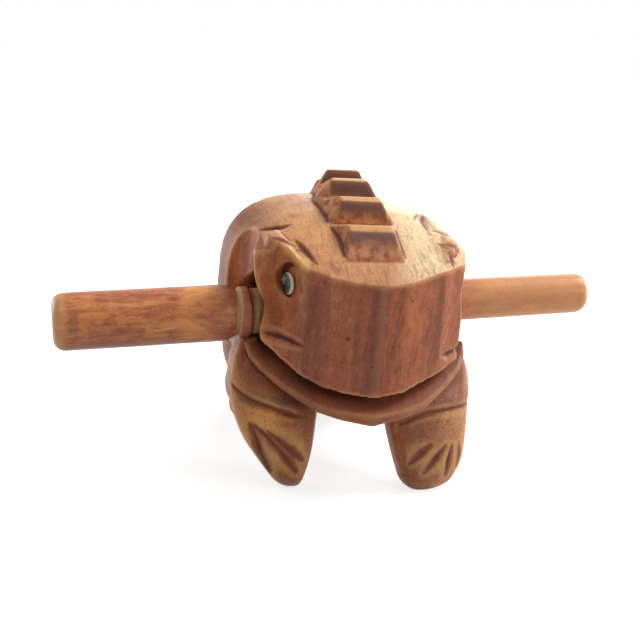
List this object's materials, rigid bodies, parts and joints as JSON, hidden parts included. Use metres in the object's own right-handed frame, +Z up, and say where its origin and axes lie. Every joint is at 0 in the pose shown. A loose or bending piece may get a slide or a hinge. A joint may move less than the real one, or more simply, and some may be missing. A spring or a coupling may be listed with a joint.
{
  "type": "frog guiro",
  "caption": "Hollow carved wooden frog with a toothed ridge along its back, and the striking stick that rests through its throat.",
  "frame": {"origin": "on the ground plane under the middle of the whole outline, stick included", "axes": "+X along the stick, to the frog's left; the frog looks along -Y; +Z up"},
  "size_m": [0.1421, 0.0958, 0.0794],
  "materials": {
    "varnished_wood": "carved hardwood, stained reddish brown under a glossy varnish",
    "stick_wood": "turned hardwood, smooth and varnished",
    "bead": "polished bead, black pupil with a pale rim"
  },
  "bodies": {
    "root": {"frog_body": "varnished_wood", "stick": "stick_wood", "right_eye": "bead", "left_eye": "bead"}
  },
  "joints": []
}
